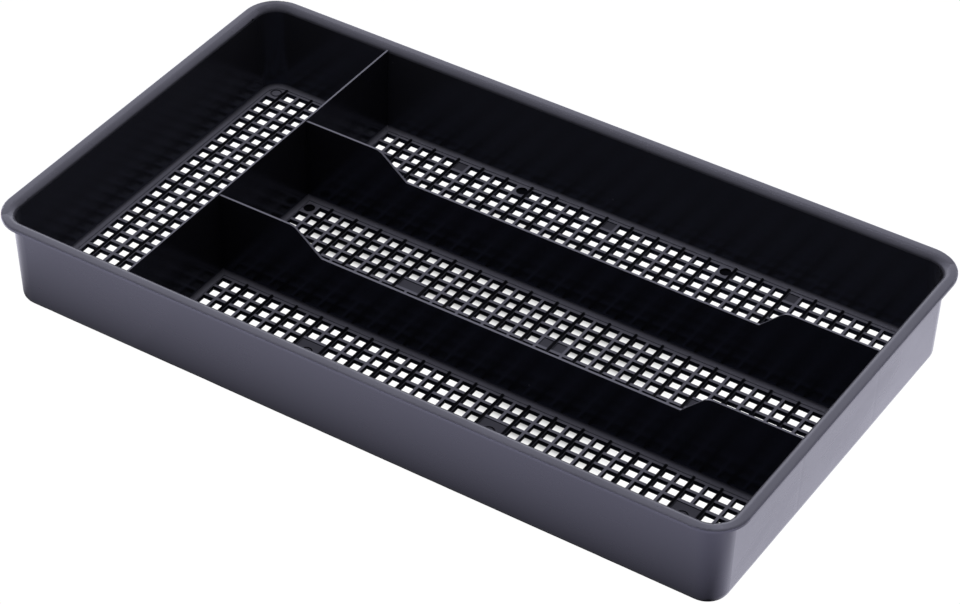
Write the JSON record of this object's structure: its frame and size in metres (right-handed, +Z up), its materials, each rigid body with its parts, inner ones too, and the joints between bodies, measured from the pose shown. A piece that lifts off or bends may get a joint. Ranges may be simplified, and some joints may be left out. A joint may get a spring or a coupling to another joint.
{
  "type": "drawer organizer tray",
  "caption": "Shallow rectangular drawer tray with an outward rim, one crosswise and three lengthwise compartments, and an open mesh floor.",
  "frame": {"origin": "centre of the rim's outline, on the surface the tray rests on", "axes": "+X along the long side away from the crosswise compartment, +Y to the back, +Z up"},
  "size_m": [0.343, 0.194, 0.0436],
  "materials": {
    "shell_plastic": "satin",
    "divider_plastic": "satin",
    "mesh_plastic": "satin"
  },
  "bodies": {
    "root": {"tray_shell": "shell_plastic", "cross_divider": "divider_plastic", "front_long_divider": "divider_plastic", "rear_long_divider": "divider_plastic", "left_mesh_floor": "mesh_plastic", "front_mesh_floor": "mesh_plastic", "middle_mesh_floor": "mesh_plastic", "rear_mesh_floor": "mesh_plastic"}
  },
  "joints": []
}
